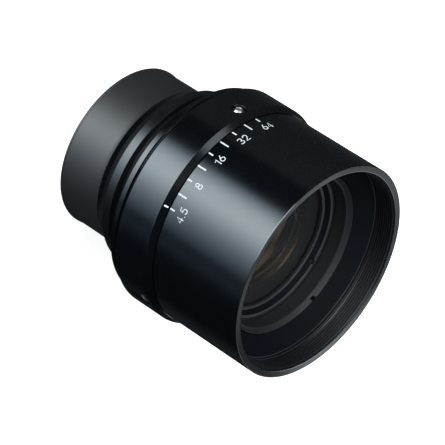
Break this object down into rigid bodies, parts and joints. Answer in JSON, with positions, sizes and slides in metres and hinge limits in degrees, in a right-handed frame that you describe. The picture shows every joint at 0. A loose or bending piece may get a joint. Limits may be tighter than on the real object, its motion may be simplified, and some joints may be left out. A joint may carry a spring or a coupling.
{
  "type": "machine vision lens",
  "caption": "Manual-iris lens barrel with a turning aperture ring, front filter thread, index ring, stepped rear mount tube and a coupled blade iris.",
  "frame": {"origin": "centre of the rear face, on the optical axis, where the lens stands", "axes": "+Z along the optical axis towards the front rim; -Y through the aperture index mark; +X to the right seen from the index mark"},
  "size_m": [0.0646, 0.0646, 0.0726],
  "materials": {
    "gloss_black_anodised": "gloss black anodised",
    "satin_black_anodised": "satin black anodised",
    "matte_black_anodised": "matte black anodised",
    "bright_steel": "bright",
    "blued_spring_steel": "blued, dull",
    "brass": "turned",
    "coated_glass": "polished, antireflection coated"
  },
  "bodies": {
    "lens_body": {"rear_mount_tube": "satin_black_anodised", "shoulder_ring": "gloss_black_anodised", "index_ring": "gloss_black_anodised", "set_screw_1": "bright_steel", "set_screw_2": "bright_steel", "set_screw_3": "bright_steel", "inner_barrel": "satin_black_anodised", "rear_cell": "matte_black_anodised", "rear_doublet": "coated_glass", "rear_element": "coated_glass", "rear_retaining_ring": "matte_black_anodised", "iris_base_plate": "satin_black_anodised", "iris_cover_ring": "satin_black_anodised", "front_cell": "matte_black_anodised", "front_doublet": "coated_glass", "front_element": "coated_glass", "front_retaining_ring": "matte_black_anodised", "barrel_retaining_ring": "satin_black_anodised"},
    "aperture_ring_group": {"aperture_ring": "gloss_black_anodised", "drive_pin": "bright_steel", "iris_cam_ring": "brass"},
    "blade_1": {"iris_blade_1": "blued_spring_steel"},
    "blade_2": {"iris_blade_2": "blued_spring_steel"},
    "blade_3": {"iris_blade_3": "blued_spring_steel"},
    "blade_4": {"iris_blade_4": "blued_spring_steel"},
    "blade_5": {"iris_blade_5": "blued_spring_steel"},
    "blade_6": {"iris_blade_6": "blued_spring_steel"},
    "blade_7": {"iris_blade_7": "blued_spring_steel"},
    "blade_8": {"iris_blade_8": "blued_spring_steel"}
  },
  "joints": [
    {"name": "aperture_ring_turn", "type": "hinge", "parent": "lens_body", "child": "aperture_ring_group", "pos_m": [0, 0, 0.05775], "axis": [0, 0, 1], "range_deg": [0, 64.5]},
    {"name": "blade_1_pivot", "type": "hinge", "parent": "lens_body", "child": "blade_1", "pos_m": [0.02127, 0.00111, 0.0439], "axis": [0, 0, 1], "range_deg": [0, 33.74]},
    {"name": "blade_2_pivot", "type": "hinge", "parent": "lens_body", "child": "blade_2", "pos_m": [0.01425, 0.01583, 0.0439], "axis": [0, 0, 1], "range_deg": [0, 33.74]},
    {"name": "blade_3_pivot", "type": "hinge", "parent": "lens_body", "child": "blade_3", "pos_m": [-0.00111, 0.02127, 0.0439], "axis": [0, 0, 1], "range_deg": [0, 33.74]},
    {"name": "blade_4_pivot", "type": "hinge", "parent": "lens_body", "child": "blade_4", "pos_m": [-0.01583, 0.01425, 0.0439], "axis": [0, 0, 1], "range_deg": [0, 33.74]},
    {"name": "blade_5_pivot", "type": "hinge", "parent": "lens_body", "child": "blade_5", "pos_m": [-0.02127, -0.00111, 0.0439], "axis": [0, 0, 1], "range_deg": [0, 33.74]},
    {"name": "blade_6_pivot", "type": "hinge", "parent": "lens_body", "child": "blade_6", "pos_m": [-0.01425, -0.01583, 0.0439], "axis": [0, 0, 1], "range_deg": [0, 33.74]},
    {"name": "blade_7_pivot", "type": "hinge", "parent": "lens_body", "child": "blade_7", "pos_m": [0.00111, -0.02127, 0.0439], "axis": [0, 0, 1], "range_deg": [0, 33.74]},
    {"name": "blade_8_pivot", "type": "hinge", "parent": "lens_body", "child": "blade_8", "pos_m": [0.01583, -0.01425, 0.0439], "axis": [0, 0, 1], "range_deg": [0, 33.74]}
  ],
  "couplings": [
    {"joint": "blade_1_pivot", "follows": "aperture_ring_turn", "ratio": 0.51384},
    {"joint": "blade_2_pivot", "follows": "aperture_ring_turn", "ratio": 0.51384},
    {"joint": "blade_3_pivot", "follows": "aperture_ring_turn", "ratio": 0.51384},
    {"joint": "blade_4_pivot", "follows": "aperture_ring_turn", "ratio": 0.51384},
    {"joint": "blade_5_pivot", "follows": "aperture_ring_turn", "ratio": 0.51384},
    {"joint": "blade_6_pivot", "follows": "aperture_ring_turn", "ratio": 0.51384},
    {"joint": "blade_7_pivot", "follows": "aperture_ring_turn", "ratio": 0.51384},
    {"joint": "blade_8_pivot", "follows": "aperture_ring_turn", "ratio": 0.51384}
  ]
}
